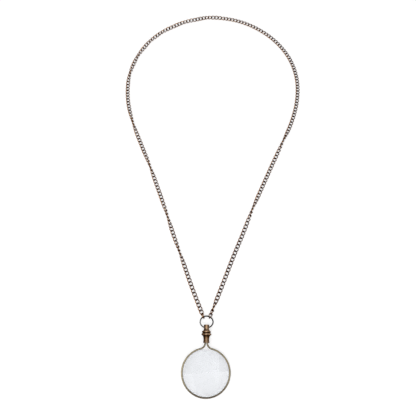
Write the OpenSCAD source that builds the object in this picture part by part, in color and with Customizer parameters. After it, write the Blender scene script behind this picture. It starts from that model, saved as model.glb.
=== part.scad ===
/* [Chain] */
// Number of links in the whole loop, end to end
chain_links = 228; // [224:2:228]
// Diameter of the wire of a link
chain_wire = 0.85; // [0.75:0.05:0.85]
// Radius of a link's round ends, to the middle of the wire
link_round = 2; // [1.98:0.01:2.02]
// Length of a link's straight sides
link_straight = 0.34; // [0.3:0.02:0.36]
// How far the links lean from the flat, one to the left and the next to the right
link_lean = 40; // [39:1:45]

/* [Jump ring] */
// Diameter of the ring, measured between the middles of its wire
ring_d = 10.8; // [10.6:0.1:11]
// Diameter of the ring's wire
ring_wire = 1.1; // [1:0.05:1.1]
// Lean of the ring, which is highest where it passes through the cap
ring_lean = 16; // [15:0.5:17]
// Angle between the middle of the ring's far side and each end of the chain
ring_hook = 31; // [30:1:33]

/* [Cap] */
// Length of the turned cap, from its foot to its top
cap_length = 14.7; // [14.5:0.1:15]
// Diameter of the sharp collar, the widest place
cap_d = 8.4; // [8.2:0.1:8.6]
// Diameter of the cross hole that the jump ring passes through
cross_hole_d = 2; // [1.9:0.1:2.1]
// Distance of the cross hole below the cap's top
cross_hole_drop = 2.3; // [2.2:0.1:2.5]

/* [Lens frame] */
// Outer diameter of the wire circle
frame_d = 40.4; // [40:0.1:41]
// Diameter of the frame's wire
frame_wire = 1.4; // [1.3:0.05:1.4]
// Radius of the bend between the circle and the neck
neck_bend = 5; // [4.8:0.1:5.2]
// Distance between the middles of the two wires of the neck
neck_gap = 1.74; // [1.7:0.02:1.8]

/* [Lens] */
// Thickness of the lens at its middle
lens_thick = 5; // [4.5:0.1:5.5]
// Thickness of the lens at its edge
lens_edge = 1.4; // [1.2:0.1:1.6]
// Clearance between the lens and the wire around it
lens_gap = 0.1; // [0.1:0.01:0.12]

/* [Place] */
// Middle of the lens, to the left or right of the loop's middle
pendant_x = -6.5; // [-7:0.1:-6]
// Middle of the lens, towards the pendant's end of the loop
pendant_y = -171.6; // [-172:0.1:-171]
// How far the pendant's axis turns to the right of straight ahead
pendant_turn = 0.8; // [0.4:0.1:1]

/* [Hidden] */
$fn = 48;

// Lens: a symmetrical double convex disc, held inside the wire circle
frame_r = (frame_d - frame_wire) / 2;
lens_r = frame_r - frame_wire / 2 - lens_gap;
lens_sag = (lens_thick - lens_edge) / 2;
lens_curve = (lens_r * lens_r + lens_sag * lens_sag) / (2 * lens_sag);

// Neck: where the bends meet the circle, and where they turn straight along the axis
neck_x = neck_gap / 2;
bend_x = neck_x + neck_bend;
neck_y = sqrt(pow(frame_r + neck_bend, 2) - bend_x * bend_x);
meet_angle = atan2(bend_x, neck_y);
socket_play = 0.3;
socket_d = neck_gap + frame_wire + socket_play;
socket_deep = 5.5;
socket_mouth = 1;
neck_length = 4.8;
solder_proud = 0.04;

// Turned profile of the cap: distance below its top, and radius
foot_lift = 0.05;
cap_foot = neck_y + foot_lift;
cap_top = cap_foot + cap_length;
cap_end = cap_length;
collar_drop = 7.85;
cap_profile = [
    [0.00, 0.00], [0.00, 1.95], [0.25, 2.20], [1.20, 2.22], [2.60, 2.16], [3.80, 2.22],
    [4.50, 2.45], [4.95, 2.90], [5.15, 3.35], [5.45, 3.62], [6.05, 3.68], [6.40, 3.50],
    [6.60, 3.20], [6.85, 3.20], [7.10, 3.62], [7.65, 4.08], [collar_drop, cap_d / 2], [8.10, 4.08],
    [8.60, 3.55], [9.00, 3.00], [9.20, 2.85], [10.00, 2.62], [11.20, 2.38], [12.40, 2.32],
    [13.40, 2.42], [13.90, 2.62], [14.30, 2.70], [14.55, 2.60], [cap_end, 2.40], [cap_end, 0.00]];

// Rest: the pendant lies on the belly of the lens and on the sharp collar
collar_y = cap_top - collar_drop;
belly_drop = lens_curve - lens_thick / 2;
rest_reach = norm([belly_drop + cap_d / 2, collar_y]);
pendant_lean = acos(lens_curve / rest_reach) - atan2(collar_y, belly_drop + cap_d / 2);
pendant_z = lens_curve - belly_drop * cos(pendant_lean);

// Jump ring: its wire passes the middle of the cross hole, a little nearer the foot, and leans down
ring_r = ring_d / 2;
hole_y = cap_top - cross_hole_drop;
ring_rise = -0.15;
ring_seat_z = pendant_z + hole_y * sin(pendant_lean) + ring_rise * sin(pendant_lean);
ring_seat_y = (hole_y + ring_rise) * cos(pendant_lean);
ring_z = ring_seat_z - ring_r * sin(ring_lean);
ring_dy = ring_seat_y + ring_r * cos(ring_lean);
ring_x = pendant_x + ring_dy * sin(pendant_turn);
ring_y = pendant_y + ring_dy * cos(pendant_turn);

// Route of the chain's middle on the table, clockwise from the ring's left side
hook_x = ring_r * sin(ring_hook);
hook_y = ring_y + ring_r * cos(ring_hook) * cos(ring_lean);
route = [
    [ring_x - hook_x, hook_y], [-18.9, -99.5], [-27.1, -76], [-35.5, -52.5], [-43.2, -28.9],
    [-51.5, -5.3], [-60, 18.2], [-69.4, 41.5], [-78, 64.8], [-83.6, 88.9], [-84, 114],
    [-77.3, 137.9], [-64.2, 159.2], [-45.6, 175.1], [-23.3, 185.3], [1, 189.4], [25.4, 185.7],
    [47.4, 174.8], [65.9, 157.9], [78.6, 136.6], [84.3, 112.6], [82.8, 87.5], [76.2, 63.4],
    [66.1, 40.5], [55.6, 17.5], [45.6, -5], [35.6, -28], [26.6, -51], [17.1, -74], [8, -97.5],
    [ring_x + hook_x, hook_y]];
route_last = len(route) - 1;
route_steps = 12;

// A smooth curve through the route's points
function route_point(i) = i < 0 ? 2 * route[0] - route[1]
    : i > route_last ? 2 * route[route_last] - route[route_last - 1] : route[i];
function curve(a, b, c, d, t) =
    b + t / 2 * (c - a + t * (2 * a - 5 * b + 4 * c - d + t * (3 * (b - c) + d - a)));
path = [
    for (i = [0:route_last - 1], j = [0:route_steps - 1])
        curve(route_point(i - 1), route[i], route[i + 1], route_point(i + 2), j / route_steps),
    route[route_last]];
path_run = [
    for (i = 0, run = 0; i < len(path);
        i = i + 1, run = run + (i < len(path) ? norm(path[i] - path[i - 1]) : 0)) run];
path_length = path_run[len(path) - 1];
run_x = [for (i = [0:len(path) - 1]) [path_run[i], path[i][0]]];
run_y = [for (i = [0:len(path) - 1]) [path_run[i], path[i][1]]];
function on_path(run) = [lookup(run, run_x), lookup(run, run_y)];

// Links: the first and last stand on edge round the ring, and the others lean both ways in turn
end_reach = 0.7;
pitch = (path_length - 2 * end_reach) / (chain_links - 1);
link_side = link_straight / 2;
end_turn = 90 - link_lean;
turn_links = 5;
half_links = chain_links / 2;
function end_share(k) = max(0, 1 - min(k, chain_links - 1 - k) / turn_links);

// One link, lying along X in the XY plane: two half rounds and two straight sides
module chain_link() {
    for (side = [-1, 1]) {
        rotate([0, 0, 90 + side * 90]) translate([-link_side, 0, 0]) rotate([0, 0, 90])
            rotate_extrude(angle = 180) translate([link_round, 0]) circle(d = chain_wire);
        translate([-link_side, side * link_round, 0]) rotate([0, 90, 0])
            cylinder(d = chain_wire, h = link_straight);
    }
}

// A run of links along the route
module chain_run(first, last) {
    for (k = [first:last]) {
        run = end_reach + k * pitch;
        way = on_path(run + pitch / 2) - on_path(run - pitch / 2);
        share = end_share(k);
        lean = (k % 2 == 0 ? 1 : -1) * link_lean + (k < half_links ? 1 : -1) * share * end_turn;
        height = link_round * sin(link_lean + share * end_turn) + chain_wire / 2;
        translate([on_path(run)[0], on_path(run)[1], height])
            rotate([0, 0, atan2(way[1], way[0])]) rotate([lean, 0, 0]) chain_link();
    }
}

module chain_left() {
    color("sienna") chain_run(0, half_links - 1);
}

module chain_right() {
    color("peru") chain_run(half_links, chain_links - 1);
}

// The closed ring that the chain's ends and the cap hang on
module jump_ring() {
    color("dimgray")
        translate([ring_x, ring_y, ring_z])
            rotate([0, 0, -pendant_turn]) rotate([-ring_lean, 0, 0])
                rotate_extrude($fn = 96) translate([ring_r, 0]) circle(d = ring_wire);
}

// Lays a piece of the pendant, drawn round the middle of the lens, where it rests
module at_rest() {
    translate([pendant_x, pendant_y, pendant_z])
        rotate([0, 0, -pendant_turn]) rotate([pendant_lean, 0, 0]) children();
}

// Turned cap with its cross hole and, in the foot, the socket of the neck's two wires
module cap() {
    color("darkgoldenrod") at_rest() difference() {
        translate([0, cap_top, 0]) rotate([90, 0, 0])
            rotate_extrude() polygon([for (row = cap_profile) [row[1], row[0]]]);
        translate([-cap_d, hole_y, 0]) rotate([0, 90, 0]) cylinder(d = cross_hole_d, h = 2 * cap_d);
        translate([0, cap_foot - socket_mouth, 0]) rotate([-90, 0, 0])
            cylinder(d = socket_d, h = socket_deep + socket_mouth);
    }
}

// Wire bent to a circle, whose two ends turn up side by side into the cap
module lens_frame() {
    color("dimgray") at_rest() union() {
        rotate([0, 0, 90 + meet_angle])
            rotate_extrude(angle = 360 - 2 * meet_angle, $fn = 180)
                translate([frame_r, 0]) circle(d = frame_wire);
        for (side = [0, 180]) rotate([0, side, 0]) {
            translate([bend_x, neck_y, 0]) rotate([0, 0, 180])
                rotate_extrude(angle = 90 - meet_angle) translate([neck_bend, 0]) circle(d = frame_wire);
            translate([neck_x, neck_y, 0]) rotate([-90, 0, 0]) cylinder(d = frame_wire, h = neck_length);
            rotate([0, 0, -meet_angle]) translate([0, frame_r, 0]) sphere(d = frame_wire + solder_proud);
            translate([neck_x, neck_y, 0]) sphere(d = frame_wire + solder_proud);
        }
    }
}

// Double convex glass
module lens() {
    color("lightsteelblue", 0.5) at_rest() intersection() {
        translate([0, 0, belly_drop]) sphere(r = lens_curve, $fn = 256);
        translate([0, 0, -belly_drop]) sphere(r = lens_curve, $fn = 256);
        translate([0, 0, -lens_thick]) cylinder(r = lens_r, h = 2 * lens_thick, $fn = 128);
    }
}

chain_left();
chain_right();
jump_ring();
cap();
lens_frame();
lens();
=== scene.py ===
import math

import bpy
from mathutils import Matrix, Vector


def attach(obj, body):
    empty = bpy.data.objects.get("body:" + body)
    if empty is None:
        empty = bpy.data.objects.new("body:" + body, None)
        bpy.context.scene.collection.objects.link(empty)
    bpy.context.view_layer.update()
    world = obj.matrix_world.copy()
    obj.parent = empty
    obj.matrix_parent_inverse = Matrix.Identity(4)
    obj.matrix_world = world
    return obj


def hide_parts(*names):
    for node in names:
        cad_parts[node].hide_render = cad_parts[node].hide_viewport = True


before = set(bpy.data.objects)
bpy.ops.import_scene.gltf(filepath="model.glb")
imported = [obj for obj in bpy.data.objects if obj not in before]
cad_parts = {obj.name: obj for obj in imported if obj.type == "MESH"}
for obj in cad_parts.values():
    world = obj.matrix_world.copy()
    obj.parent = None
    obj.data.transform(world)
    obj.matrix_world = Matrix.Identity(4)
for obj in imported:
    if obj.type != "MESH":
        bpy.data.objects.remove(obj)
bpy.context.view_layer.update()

MM = 0.001

# The twisted links, in millimetres and degrees, which lie where the solids' plain ones do
CHAIN_LINKS = 228
last_link = CHAIN_LINKS - 1
LINK_WIRE = 0.88
LINK_HALF_WIDTH = 1.6
LINK_STRETCH = 0.56
LINK_TWIST = 90
link_reach = LINK_HALF_WIDTH + LINK_STRETCH

# Sizes of the other pieces in millimetres and degrees, as the solids have them
RING_D = 10.8
RING_WIRE = 1.1
RING_LEAN = 16
RING_HOOK = 31
CAP_LENGTH = 14.7
CAP_D = 8.4
CROSS_HOLE_D = 2.0
CROSS_HOLE_DROP = 2.3
SOCKET_DEEP = 5.5
SOCKET_PLAY = 0.3
FOOT_LIFT = 0.05
FRAME_D = 40.4
FRAME_WIRE = 1.4
NECK_BEND = 5.0
NECK_GAP = 1.74
NECK_LENGTH = 4.8
LENS_THICK = 5.0
LENS_EDGE = 1.4
LENS_GAP = 0.1

# Where the pendant lies, in millimetres and degrees
PENDANT_X = -6.5
PENDANT_Y = -171.6
PENDANT_TURN = 0.8

frame_r = (FRAME_D - FRAME_WIRE) / 2
lens_r = frame_r - FRAME_WIRE / 2 - LENS_GAP
lens_sag = (LENS_THICK - LENS_EDGE) / 2
lens_curve = (lens_r ** 2 + lens_sag ** 2) / (2 * lens_sag)
belly_drop = lens_curve - LENS_THICK / 2
neck_x = NECK_GAP / 2
bend_x = neck_x + NECK_BEND
neck_y = math.sqrt((frame_r + NECK_BEND) ** 2 - bend_x ** 2)
meet_angle = math.atan2(bend_x, neck_y)
cap_top = neck_y + FOOT_LIFT + CAP_LENGTH
socket_r = (NECK_GAP + FRAME_WIRE + SOCKET_PLAY) / 2

# The pendant rests on the belly of the lens and on the sharp collar of the cap
COLLAR_DROP = 7.85
collar_y = cap_top - COLLAR_DROP
rest_reach = math.hypot(belly_drop + CAP_D / 2, collar_y)
pendant_lean = math.acos(lens_curve / rest_reach) - math.atan2(collar_y, belly_drop + CAP_D / 2)
pendant_z = lens_curve - belly_drop * math.cos(pendant_lean)

# The jump ring, seated in the cross hole, a little nearer the cap's foot
RING_RISE = -0.15
hole_y = cap_top - CROSS_HOLE_DROP
ring_r = RING_D / 2
ring_seat_z = pendant_z + (hole_y + RING_RISE) * math.sin(pendant_lean)
ring_seat_y = (hole_y + RING_RISE) * math.cos(pendant_lean)
ring_lean = math.radians(RING_LEAN)
ring_z = ring_seat_z - ring_r * math.sin(ring_lean)
ring_away = ring_seat_y + ring_r * math.cos(ring_lean)
ring_x = PENDANT_X + ring_away * math.sin(math.radians(PENDANT_TURN))
ring_y = PENDANT_Y + ring_away * math.cos(math.radians(PENDANT_TURN))
hook = math.radians(RING_HOOK)
hook_y = ring_y + ring_r * math.cos(hook) * math.cos(ring_lean)
hook_z = ring_z - ring_r * math.cos(hook) * math.sin(ring_lean)

# Route of the chain's middle on the table, in millimetres, clockwise from the ring's left side
ROUTE = [
    (ring_x - ring_r * math.sin(hook), hook_y),
    (-18.9, -99.5), (-27.1, -76), (-35.5, -52.5), (-43.2, -28.9), (-51.5, -5.3), (-60, 18.2),
    (-69.4, 41.5), (-78, 64.8), (-83.6, 88.9), (-83.88, 114), (-77.3, 137.9), (-64.2, 159.2),
    (-45.6, 175.1), (-23.3, 185.3), (1, 189.4), (25.4, 185.7), (47.4, 174.8), (65.9, 157.9),
    (78.6, 136.6), (84.18, 112.6), (82.8, 87.5), (76.2, 63.4), (66.1, 40.5), (55.6, 17.5),
    (45.6, -5), (35.6, -28), (26.6, -51), (17.1, -74), (8, -97.5),
    (ring_x + ring_r * math.sin(hook), hook_y)]
ROUTE_STEPS = 12

# Distance along the route from its ends to the middles of the first and last link
END_REACH = 0.95

# Links that stand on edge, counted clockwise from the ring, and how many degrees the chain
# rolls from one link to the next there
EDGE_LINKS = [18.3, 29.1, 45.1, 60.3, 77.8, 84.4, 91.3, 95.7, 103.8, 111.3, 172.8, 195.8]
ROLL_PER_LINK = 19

# How many links at each end rise from the table to the ring
END_LINKS = 4

# How much lighter or darker than elsewhere the links are: link, and difference in wear
LINK_TONE_SHIFT = [
    (0, 0.0), (16, -0.05), (32, 0.1), (56, 0.15), (76, 0.15), (96, 0.0),
    (124, -0.05), (150, -0.1), (172, -0.05), (196, -0.1), (208, -0.3), (227, -0.1)]

# Degrees that the links nearest the jump ring are rolled from lying flat
END_ROLLS = {0: -80, 1: -20, 223: 25, 224: 60, 225: 90, 226: 60, 227: 45}

# The camera looks down at the table with the tilt and lens of the photograph
CAMERA_AIM = (-4.75, -26.6, 1.5)
CAMERA_AWAY = 525
CAMERA_TILT = 22.3
CAMERA_LENS = 50


# Camera, floor and light

def set_camera():
    """A camera over the pendant's end, which looks down and a little ahead."""
    tilt = math.radians(CAMERA_TILT)
    aim = Vector(CAMERA_AIM)
    eye = aim + CAMERA_AWAY * Vector((0, -math.sin(tilt), math.cos(tilt)))
    bpy.ops.object.camera_add(location=eye * MM, rotation=(tilt, 0, 0))
    camera = bpy.context.object
    camera.name = "camera"
    camera.data.lens = CAMERA_LENS
    camera.data.sensor_width = 36
    camera.data.clip_start = 0.01
    camera.data.clip_end = 10
    bpy.context.scene.camera = camera


def soft_light(name, place, size, power):
    """A square softbox that faces the middle of the necklace: place and size are in metres."""
    place = Vector(place)
    turn = (-place).to_track_quat("-Z", "Y").to_euler()
    bpy.ops.object.light_add(type="AREA", location=place, rotation=turn)
    light = bpy.context.object
    light.name = name
    light.data.size = size
    light.data.energy = power


# Soft light from above that fades towards the horizon: height of the direction, and colour
SKY_STOPS = [(0.0, (0.06, 0.06, 0.06)), (0.6, (0.14, 0.14, 0.14)), (1.0, (1.3, 1.3, 1.3))]


def set_stage():
    """White table, three softboxes and a soft sky."""
    bpy.ops.mesh.primitive_plane_add(size=6, location=(0, 0, 0))
    table_top = bpy.context.object
    table_top.name = "table_top"
    table_top.data.materials.append(table_finish())
    soft_light("front_softbox", (0.05, -0.75, 1.2), 1.4, 10)
    soft_light("side_softbox", (-0.9, -0.2, 1.2), 1.2, 4)
    soft_light("low_softbox", (-0.1, -1.3, 0.5), 0.5, 4)
    world = bpy.data.worlds.new("studio")
    world.use_nodes = True
    nodes = world.node_tree.nodes
    links = world.node_tree.links
    way = nodes.new("ShaderNodeSeparateXYZ")
    links.new(nodes.new("ShaderNodeTexCoord").outputs["Generated"], way.inputs["Vector"])
    glow = add_ramp(nodes, links, way.outputs["Z"], SKY_STOPS)
    links.new(glow, nodes["Background"].inputs["Color"])
    nodes["Background"].inputs["Strength"].default_value = 1.0
    bpy.context.scene.world = world
    bpy.context.scene.view_settings.view_transform = "Standard"
    bpy.context.scene.cycles.denoising_prefilter = "FAST"


# Finishes

def new_finish(name):
    """A new material, and what its recipe needs: nodes, links and shader."""
    finish = bpy.data.materials.new(name)
    finish.use_nodes = True
    nodes = finish.node_tree.nodes
    return finish, nodes, finish.node_tree.links, nodes["Principled BSDF"]


def add_noise(nodes, links, coords, size, detail):
    """Noise whose patches are about this size, in millimetres."""
    noise = nodes.new("ShaderNodeTexNoise")
    noise.inputs["Scale"].default_value = 1 / (size * MM)
    noise.inputs["Detail"].default_value = detail
    links.new(coords, noise.inputs["Vector"])
    return noise.outputs["Fac"]


def add_ramp(nodes, links, value, stops):
    """Colours along a value: stops give a place from 0 to 1 and a colour."""
    ramp = nodes.new("ShaderNodeValToRGB")
    bar = ramp.color_ramp.elements
    while len(bar) < len(stops):
        bar.new(0.5)
    for stop, (place, colour) in zip(bar, stops):
        stop.position = place
        stop.color = (*colour, 1)
    links.new(value, ramp.inputs["Fac"])
    return ramp.outputs["Color"]


def table_finish():
    """Matt white that glows a little, so that the table shows as pale as the photograph's."""
    finish, nodes, links, shader = new_finish("table_white")
    shader.inputs["Base Color"].default_value = (0.45, 0.45, 0.45, 1)
    shader.inputs["Roughness"].default_value = 0.9
    shader.inputs["Specular IOR Level"].default_value = 0.1
    shader.inputs["Emission Color"].default_value = (1, 1, 1, 1)
    shader.inputs["Emission Strength"].default_value = 0.6
    return finish


# How much of a metal's look the mesh's wear and painted highlight and shade decide, and how rubbed
# it is without wear
WEAR_AND_LIGHT_SHARE = 0.7
LEAST_RUBBED = 0.15

# Depth of a metal's grain in millimetres, and how much smoother and rougher the grain makes it
GRAIN_DEPTH = 0.03
SMOOTHER = 0.08
ROUGHER = 0.12

# The span that holds nearly all of the noise
NOISE_LOW = 0.25
NOISE_HIGH = 0.75


def worn_metal(name, patina, metal, rubbed, roughness, grain, patches, blotch):
    """Patinated metal: the mesh's wear, with painted highlight and painted shade, and patches of
    noise say where it is rubbed and where it is painted lighter or darker.

    The sizes of the grain and of the patches are in millimetres.
    """
    finish, nodes, links, shader = new_finish(name)
    coords = nodes.new("ShaderNodeTexCoord").outputs["Object"]
    blotches = add_noise(nodes, links, coords, patches, detail=5)
    # The mesh's wear, with painted highlight and painted shade
    wear_and_light = nodes.new("ShaderNodeAttribute")
    wear_and_light.attribute_name = "wear_and_light"
    sum_up = nodes.new("ShaderNodeMath")
    sum_up.operation = "MULTIPLY_ADD"
    sum_up.inputs[1].default_value = WEAR_AND_LIGHT_SHARE
    links.new(wear_and_light.outputs["Fac"], sum_up.inputs[0])
    spread = nodes.new("ShaderNodeMapRange")
    spread.inputs["From Min"].default_value = NOISE_LOW
    spread.inputs["From Max"].default_value = NOISE_HIGH
    spread.inputs["To Min"].default_value = LEAST_RUBBED - blotch
    spread.inputs["To Max"].default_value = LEAST_RUBBED + blotch
    links.new(blotches, spread.inputs["Value"])
    links.new(spread.outputs["Result"], sum_up.inputs[2])
    colour = add_ramp(
        nodes, links, sum_up.outputs["Value"], [(0.05, patina), (0.5, metal), (0.95, rubbed)])
    links.new(colour, shader.inputs["Base Color"])
    shader.inputs["Metallic"].default_value = 1
    shader.inputs["Specular Tint"].default_value = (*metal, 1)
    fine = add_noise(nodes, links, coords, grain, detail=3)
    rough = nodes.new("ShaderNodeMapRange")
    rough.inputs["To Min"].default_value = roughness - SMOOTHER
    rough.inputs["To Max"].default_value = roughness + ROUGHER
    links.new(fine, rough.inputs["Value"])
    links.new(rough.outputs["Result"], shader.inputs["Roughness"])
    bump = nodes.new("ShaderNodeBump")
    bump.inputs["Strength"].default_value = 0.25
    bump.inputs["Distance"].default_value = GRAIN_DEPTH * MM
    links.new(fine, bump.inputs["Height"])
    links.new(bump.outputs["Normal"], shader.inputs["Normal"])
    return finish


def lens_finish():
    """Polished glass with a slight grey-blue tint, darkened further as painted shade for the table
    seen under it.
    """
    finish, nodes, links, shader = new_finish("lens_glass")
    # Grey-blue tint of the glass, darkened further as painted shade for the table under the lens
    shader.inputs["Base Color"].default_value = (0.841, 0.856, 0.88, 1)
    shader.inputs["Roughness"].default_value = 0.0
    shader.inputs["IOR"].default_value = 1.52
    shader.inputs["Transmission Weight"].default_value = 1
    return finish


# Modelling helpers

def start_piece():
    """Leaves edit mode and selects nothing, before a new piece is added."""
    if bpy.context.object and bpy.context.object.mode != "OBJECT":
        bpy.ops.object.mode_set(mode="OBJECT")
    bpy.ops.object.select_all(action="DESELECT")


def edit(piece):
    """Opens a piece in edit mode, with vertices to select."""
    bpy.context.view_layer.objects.active = piece
    piece.select_set(True)
    bpy.ops.object.mode_set(mode="EDIT")
    bpy.ops.mesh.select_mode(type="VERT")


def done():
    """Leaves edit mode."""
    bpy.ops.object.mode_set(mode="OBJECT")


def pick(piece, test):
    """Selects, in edit mode, the vertices whose place passes the test."""
    bpy.ops.mesh.select_all(action="DESELECT")
    done()
    for vertex in piece.data.vertices:
        vertex.select = test(vertex.co)
    bpy.ops.object.mode_set(mode="EDIT")


def close_up(piece):
    """Merges doubled points and turns all faces outwards."""
    edit(piece)
    bpy.ops.mesh.select_all(action="SELECT")
    bpy.ops.mesh.remove_doubles(threshold=0.002 * MM)
    bpy.ops.mesh.normals_make_consistent(inside=False)
    done()


# Lowest value, for grooves darkened with patina and painted shade
GROOVE_PATINA_AND_SHADE = -0.2


def paint_wear_and_light(piece, how_much):
    """Stores at every vertex how rubbed the metal is, with painted highlight and shade: 0 to 1, or
    less in a groove darkened with patina and painted shade.
    """
    wear_and_light = piece.data.attributes.new("wear_and_light", "FLOAT", "POINT")
    for vertex in piece.data.vertices:
        wear_and_light.data[vertex.index].value = min(max(how_much(vertex.co / MM), GROOVE_PATINA_AND_SHADE), 1)


def between(rows, place):
    """Value at a place, in straight lines between rows of place and value."""
    for (start, low), (end, high) in zip(rows, rows[1:]):
        if place <= end:
            return low + (high - low) * max(place - start, 0) / (end - start)
    return rows[-1][1]


def choose(piece):
    """Selects this piece alone and makes it the active one."""
    bpy.ops.object.select_all(action="DESELECT")
    piece.select_set(True)
    bpy.context.view_layer.objects.active = piece


def settle(piece):
    """Moves a piece's place, turn and size into its mesh."""
    choose(piece)
    bpy.ops.object.transform_apply(location=True, rotation=True, scale=True)


def lay_at_rest(piece):
    """Moves a piece of the pendant, modelled round the middle of the lens, to where it lies."""
    turn = Matrix.Rotation(-math.radians(PENDANT_TURN), 4, "Z")
    lean = Matrix.Rotation(pendant_lean, 4, "X")
    place = Matrix.Translation(Vector((PENDANT_X, PENDANT_Y, pendant_z)) * MM)
    piece.matrix_world = place @ turn @ lean
    settle(piece)


def dress(piece, name, finish, slot, *nodes):
    """Names a finished piece, gives it its finish and lets it stand for its solids."""
    piece.name = name
    piece.data.name = name
    piece.data.materials.clear()
    piece.data.materials.append(finish)
    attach(piece, "root")
    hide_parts(*nodes)


# Chain

def curve_through(points):
    """A smooth curve through the points, as a list of places and the run up to each."""
    count = len(points)
    first = [2 * a - b for a, b in zip(points[0], points[1])]
    last = [2 * a - b for a, b in zip(points[-1], points[-2])]
    padded = [Vector(p) for p in (first, *points, last)]
    places = []
    for i in range(count - 1):
        a, b, c, d = padded[i:i + 4]
        for j in range(ROUTE_STEPS):
            t = j / ROUTE_STEPS
            cubic = 3 * (b - c) + d - a
            places.append(b + t / 2 * (c - a + t * (2 * a - 5 * b + 4 * c - d + t * cubic)))
    places.append(padded[-2])
    runs = [0.0]
    for here, there in zip(places, places[1:]):
        runs.append(runs[-1] + (there - here).length)
    return places, runs


def place_at(run, places, runs):
    """The place on the curve after this run."""
    run = min(max(run, 0.0), runs[-1])
    for i in range(len(runs) - 1):
        if run <= runs[i + 1]:
            share = (run - runs[i]) / (runs[i + 1] - runs[i])
            return places[i].lerp(places[i + 1], share)
    return places[-1]


def roll_of(k):
    """Degrees that link k is rolled from lying flat."""
    if k in END_ROLLS:
        return END_ROLLS[k]
    nearest = min(abs(k - spot) for spot in EDGE_LINKS)
    return max(0, 90 - ROLL_PER_LINK * nearest)


def height_of(k, link, turn):
    """Height of link k's middle, so that it lies on the table or, at the ends, round the ring."""
    lying = -min((turn @ vertex.co).z for vertex in link.data.vertices) / MM
    share = max(0, 1 - min(k, last_link - k) / END_LINKS)
    return lying + share * max(0, hook_z - lying)


# Half width of the middle of a link that is left in place as its ends are drawn apart
MIDDLE_BAND = 0.1


def make_link():
    """One twisted oval link of round wire."""
    start_piece()
    bpy.ops.mesh.primitive_torus_add(
        major_segments=12, minor_segments=6,
        major_radius=LINK_HALF_WIDTH * MM, minor_radius=LINK_WIRE / 2 * MM)
    link = bpy.context.object
    edit(link)
    for side in (1, -1):
        pick(link, lambda co: co.x * side > MIDDLE_BAND * MM)
        bpy.ops.transform.translate(value=(side * LINK_STRETCH * MM, 0, 0))
    done()
    twist = link.modifiers.new("twist", "SIMPLE_DEFORM")
    twist.deform_method = "TWIST"
    twist.deform_axis = "X"
    twist.angle = math.radians(LINK_TWIST) * (link_reach + LINK_WIRE / 2) / link_reach
    bpy.ops.object.modifier_apply(modifier=twist.name)
    bpy.ops.object.shade_smooth()
    return link


# Wear and painted highlight at the middle of a link's sides, and how much less it is at the link's
# ends, which are darkened with patina and painted shade where the links interlock
LINK_MIDDLE_WEAR_AND_SHEEN = 1.1
LINK_END_SHADE = 1.2


def link_wear_and_light(k):
    """The middle of a link's sides is rubbed and carries a painted highlight; its ends, deep in
    the chain, are dark with patina and painted shade.
    """
    middle = LINK_MIDDLE_WEAR_AND_SHEEN + between(LINK_TONE_SHIFT, k)
    # Painted highlight brightens the middle of a link; painted shade with patina darkens its ends
    return lambda co: middle - LINK_END_SHADE * abs(co.x) / link_reach


def make_chain(name, first, last, link, finish):
    """Lays links first to last along the route, each heading along it, and joins them."""
    places, runs = curve_through(ROUTE)
    pitch = (runs[-1] - 2 * END_REACH) / last_link
    copies = []
    for k in range(first, last + 1):
        run = END_REACH + k * pitch
        here = place_at(run, places, runs)
        way = place_at(run + pitch / 2, places, runs) - place_at(run - pitch / 2, places, runs)
        copy = bpy.data.objects.new("link", link.data.copy())
        bpy.context.collection.objects.link(copy)
        paint_wear_and_light(copy, link_wear_and_light(k))
        heading = Matrix.Rotation(math.atan2(way.y, way.x), 4, "Z")
        roll = Matrix.Rotation(math.radians(roll_of(k)), 4, "X")
        spot = Matrix.Translation(Vector((here.x, here.y, height_of(k, link, roll))) * MM)
        copy.matrix_world = spot @ heading @ roll
        copies.append(copy)
    choose(copies[0])
    for copy in copies:
        copy.select_set(True)
    bpy.ops.object.join()
    chain = bpy.context.object
    settle(chain)
    dress(chain, name + "_links", finish, "chain_copper", name)


# Cap

SOCKET_CHAMFER = 0.08

# Outline of the cap: distance below its top, and radius, down to the foot and up into the socket
CAP_ROWS = [
    (0.00, 1.85), (0.08, 2.05), (0.25, 2.20), (1.20, 2.22), (2.60, 2.16), (3.80, 2.22),
    (4.50, 2.45), (4.95, 2.90), (5.15, 3.35), (5.30, 3.54), (5.55, 3.66), (5.80, 3.68),
    (6.05, 3.66), (6.40, 3.50), (6.60, 3.20), (6.72, 3.14), (6.85, 3.20), (7.10, 3.62),
    (7.45, 3.92), (7.75, 4.16), (7.85, CAP_D / 2), (7.97, 4.15), (8.25, 3.92), (8.60, 3.55),
    (8.85, 3.18), (9.00, 3.00), (9.12, 2.88), (9.30, 2.82), (10.00, 2.62), (10.60, 2.49),
    (11.20, 2.38), (11.80, 2.33), (12.40, 2.32), (12.90, 2.36), (13.40, 2.42), (13.70, 2.52),
    (13.90, 2.62), (14.10, 2.68), (14.30, 2.70), (14.45, 2.67), (14.58, 2.60),
    (CAP_LENGTH, 2.42), (CAP_LENGTH, socket_r + SOCKET_CHAMFER),
    (CAP_LENGTH - SOCKET_CHAMFER, socket_r),
    (CAP_LENGTH - SOCKET_DEEP, socket_r)]


def turn_up(rows, steps):
    """A turned solid round the Y axis: rows give a place along Y and a radius, in millimetres."""
    start_piece()
    y, radius = rows[0]
    bpy.ops.mesh.primitive_circle_add(
        vertices=steps, radius=radius * MM, fill_type="NGON",
        location=(0, y * MM, 0), rotation=(math.radians(90), 0, 0))
    piece = bpy.context.object
    settle(piece)
    edit(piece)
    bpy.ops.mesh.select_all(action="SELECT")
    for next_y, next_radius in rows[1:]:
        bpy.ops.mesh.extrude_region_move(
            TRANSFORM_OT_translate={"value": (0, (next_y - y) * MM, 0)})
        share = next_radius / radius
        bpy.ops.transform.resize(value=(share, 1, share), center_override=(0, next_y * MM, 0))
        y, radius = next_y, next_radius
    done()
    close_up(piece)
    return piece


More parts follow.
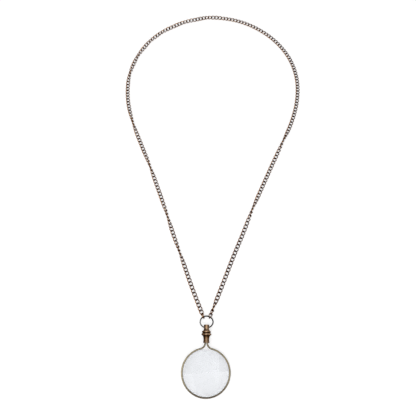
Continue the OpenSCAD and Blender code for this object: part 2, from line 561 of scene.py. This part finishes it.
# How rubbed the cap is, with painted highlight bands on its crowns and painted shade with patina
# in the groove under the collar: distance below its top, and wear
CAP_WEAR_AND_LIGHT = [
    (0.0, 0.8), (1.5, 0.75), (2.5, 0.85), (3.2, 0.95), (4.0, 1.0), (4.8, 1.0), (5.3, 0.95),
    (5.9, 1.0), (6.3, 0.3), (6.7, 0.0), (7.0, 0.5), (7.5, 1.0), (8.4, 1.0), (8.65, 0.1),
    (8.85, -0.2), (9.6, -0.2), (10.2, 0.0), (10.8, 0.3), (11.4, 0.52), (12.5, 0.7), (13.5, 0.88),
    (CAP_LENGTH, 0.95)]

# Degrees that the middle of the painted highlight lies to the right of straight up
CAP_HIGHLIGHT_TURN = 15

# First and last drop of the two rims, and how fast painted shade darkens them and the rest towards
# the sides
CAP_RIMS = (4.8, 8.6)
RIM_SHADE_FADE = 2
CAP_SHADE_FADE = 4
SIDE_SHADE_SHARE = 0.15


def cap_wear_and_light(co):
    """Front and back are rubbed and carry a painted highlight; the sides get painted shade, and
    the grooves between the rims stay dark with patina and painted shade.
    """
    turn = math.radians(CAP_HIGHLIGHT_TURN)
    highlight_facing = abs(co.z * math.cos(turn) + co.x * math.sin(turn)) / max(math.hypot(co.x, co.z), 0.01)
    drop = cap_top - co.y
    fade = RIM_SHADE_FADE if CAP_RIMS[0] < drop < CAP_RIMS[1] else CAP_SHADE_FADE
    # Painted highlight on the top and bottom of the cap, painted shade towards its sides
    share = SIDE_SHADE_SHARE + (1 - SIDE_SHADE_SHARE) * highlight_facing ** fade
    wear_and_light = between(CAP_WEAR_AND_LIGHT, drop)
    return share * wear_and_light if wear_and_light > 0 else wear_and_light


def make_cap(finish):
    """Turned cap, bored for the wire's two ends and drilled for the jump ring."""
    cap = turn_up([(cap_top - drop, radius) for drop, radius in CAP_ROWS], steps=64)
    bpy.ops.object.select_all(action="DESELECT")
    bpy.ops.mesh.primitive_cylinder_add(
        vertices=48, radius=CROSS_HOLE_D / 2 * MM, depth=2 * CAP_D * MM,
        location=(0, hole_y * MM, 0), rotation=(0, math.radians(90), 0))
    drill = bpy.context.object
    choose(cap)
    hole = cap.modifiers.new("cross_hole", "BOOLEAN")
    hole.operation = "DIFFERENCE"
    hole.object = drill
    bpy.ops.object.modifier_apply(modifier=hole.name)
    bpy.data.objects.remove(drill)
    bpy.ops.object.shade_smooth_by_angle(angle=math.radians(32))
    paint_wear_and_light(cap, cap_wear_and_light)
    lay_at_rest(cap)
    dress(cap, "turned_cap", finish, "antique_bronze", "cap")


# Jump ring

# Wear of the ring, and how far its left side, right side and far side depart from it
RING_WEAR = 0.45
RING_LEFT = 0.8
RING_RIGHT = -0.2
RING_FAR = -0.65


def ring_wear(co):
    """Lighter on the left side, a little darker on the right, and darkest on the far side, where
    the chain hooks.
    """
    across, along = co.x / ring_r, co.y / ring_r
    left = RING_LEFT * max(-across, 0) * (1 - min(abs(along), 1))
    return RING_WEAR + left + RING_RIGHT * max(across, 0) + RING_FAR * max(along, 0)


def make_ring(finish):
    """One closed round of wire that leans on the cap and passes through its cross hole."""
    start_piece()
    bpy.ops.mesh.primitive_circle_add(
        vertices=16, radius=RING_WIRE / 2 * MM,
        location=(ring_r * MM, 0, 0), rotation=(math.radians(90), 0, 0))
    ring = bpy.context.object
    settle(ring)
    edit(ring)
    bpy.ops.mesh.select_all(action="SELECT")
    bpy.ops.mesh.spin(steps=96, angle=2 * math.pi, center=(0, 0, 0), axis=(0, 0, 1))
    done()
    close_up(ring)
    bpy.ops.object.shade_smooth()
    paint_wear_and_light(ring, ring_wear)
    turn = Matrix.Rotation(-math.radians(PENDANT_TURN), 4, "Z")
    lean = Matrix.Rotation(-ring_lean, 4, "X")
    ring.matrix_world = Matrix.Translation(Vector((ring_x, ring_y, ring_z)) * MM) @ turn @ lean
    settle(ring)
    dress(ring, "closed_ring", finish, "dark_wire", "jump_ring")


# Lens frame

# Wear of the wire in its neck and at the top of its circle, and how far painted light moves
# its right side (painted shade), both its sides (painted highlight) and its bottom (painted shade)
# from that
NECK_WEAR = 0.6
CIRCLE_WEAR = 0.57
CIRCLE_RIGHT_SHADE = -0.06
CIRCLE_SIDE_HIGHLIGHT = 0.22
CIRCLE_BOTTOM_SHADE = -0.42


def wire_wear_and_light(co):
    """The wire is worn evenly, with painted highlight at its two sides, painted shade round the
    bottom and a little on its right, and evenly in its neck.
    """
    across, along = co.x / frame_r, co.y / frame_r
    if along > 1:
        return NECK_WEAR
    # Painted highlight on both sides, painted shade round the bottom and a little on the right
    sides = CIRCLE_RIGHT_SHADE * across + CIRCLE_SIDE_HIGHLIGHT * across ** 2
    return CIRCLE_WEAR + sides + CIRCLE_BOTTOM_SHADE * min(along, 0) ** 2


def make_frame(finish):
    """One wire, drawn out from the left end of the neck, round the lens and up again."""
    start_piece()
    top = neck_y + NECK_LENGTH
    bpy.ops.mesh.primitive_circle_add(
        vertices=16, radius=FRAME_WIRE / 2 * MM, fill_type="NGON",
        location=(-neck_x * MM, top * MM, 0), rotation=(math.radians(90), 0, 0))
    wire = bpy.context.object
    settle(wire)
    edit(wire)
    bpy.ops.mesh.select_all(action="SELECT")
    bend_turn = math.pi / 2 - meet_angle
    bpy.ops.mesh.extrude_region_move(
        TRANSFORM_OT_translate={"value": (0, -NECK_LENGTH * MM, 0)})
    bpy.ops.mesh.spin(
        steps=10, angle=bend_turn, center=(-bend_x * MM, neck_y * MM, 0), axis=(0, 0, 1))
    bpy.ops.mesh.spin(
        steps=132, angle=2 * (math.pi - meet_angle), center=(0, 0, 0), axis=(0, 0, -1))
    bpy.ops.mesh.spin(
        steps=10, angle=bend_turn, center=(bend_x * MM, neck_y * MM, 0), axis=(0, 0, 1))
    bpy.ops.mesh.extrude_region_move(
        TRANSFORM_OT_translate={"value": (0, NECK_LENGTH * MM, 0)})
    done()
    close_up(wire)
    bpy.ops.object.shade_smooth_by_angle(angle=math.radians(40))
    paint_wear_and_light(wire, wire_wear_and_light)
    lay_at_rest(wire)
    dress(wire, "lens_wire", finish, "frame_wire", "lens_frame")


# Lens

# Rings of faces from the middle of a face to its edge, and sizes in millimetres
LENS_RINGS = 14
LENS_CHAMFER = 0.15
LENS_POLE = 0.01


def make_lens(finish):
    """Double convex disc with a fine ground chamfer at its edge."""
    face_r = lens_r - LENS_CHAMFER
    rows = []
    for i in range(LENS_RINGS + 1):
        radius = max(face_r * i / LENS_RINGS, LENS_POLE)
        rows.append((math.sqrt(lens_curve ** 2 - radius ** 2) - belly_drop, radius))
    upper = rows + [(rows[-1][0] - LENS_CHAMFER, lens_r)]
    lower = [(-y, radius) for y, radius in reversed(upper)]
    lens = turn_up(upper + lower, steps=128)
    bpy.ops.object.shade_smooth_by_angle(angle=math.radians(25))
    lens.matrix_world = Matrix.Rotation(math.radians(90), 4, "X")
    settle(lens)
    lay_at_rest(lens)
    dress(lens, "glass_lens", finish, "lens_glass", "lens")


set_camera()
set_stage()

chain_copper = worn_metal(
    "chain_copper", patina=(0.055, 0.014, 0.004), metal=(0.17, 0.07, 0.022),
    rubbed=(0.52, 0.29, 0.115), roughness=0.34, grain=0.12, patches=1.6, blotch=0.3)
antique_bronze = worn_metal(
    "antique_bronze", patina=(0.03, 0.013, 0.005), metal=(0.20, 0.115, 0.06),
    rubbed=(0.62, 0.43, 0.28), roughness=0.34, grain=0.15, patches=2.2, blotch=0.10)
ring_gunmetal = worn_metal(
    "ring_gunmetal", patina=(0.012, 0.006, 0.005), metal=(0.17, 0.155, 0.145),
    rubbed=(0.6, 0.6, 0.59), roughness=0.28, grain=0.2, patches=2.5, blotch=0.05)
frame_olive = worn_metal(
    "frame_olive", patina=(0.032, 0.022, 0.017), metal=(0.175, 0.146, 0.1),
    rubbed=(0.52, 0.445, 0.29), roughness=0.30, grain=0.2, patches=3.0, blotch=0.06)
lens_glass = lens_finish()

link = make_link()
half = CHAIN_LINKS // 2
make_chain("chain_left", 0, half - 1, link, chain_copper)
make_chain("chain_right", half, last_link, link, chain_copper)
bpy.data.objects.remove(link)
make_ring(ring_gunmetal)
make_cap(antique_bronze)
make_frame(frame_olive)
make_lens(lens_glass)
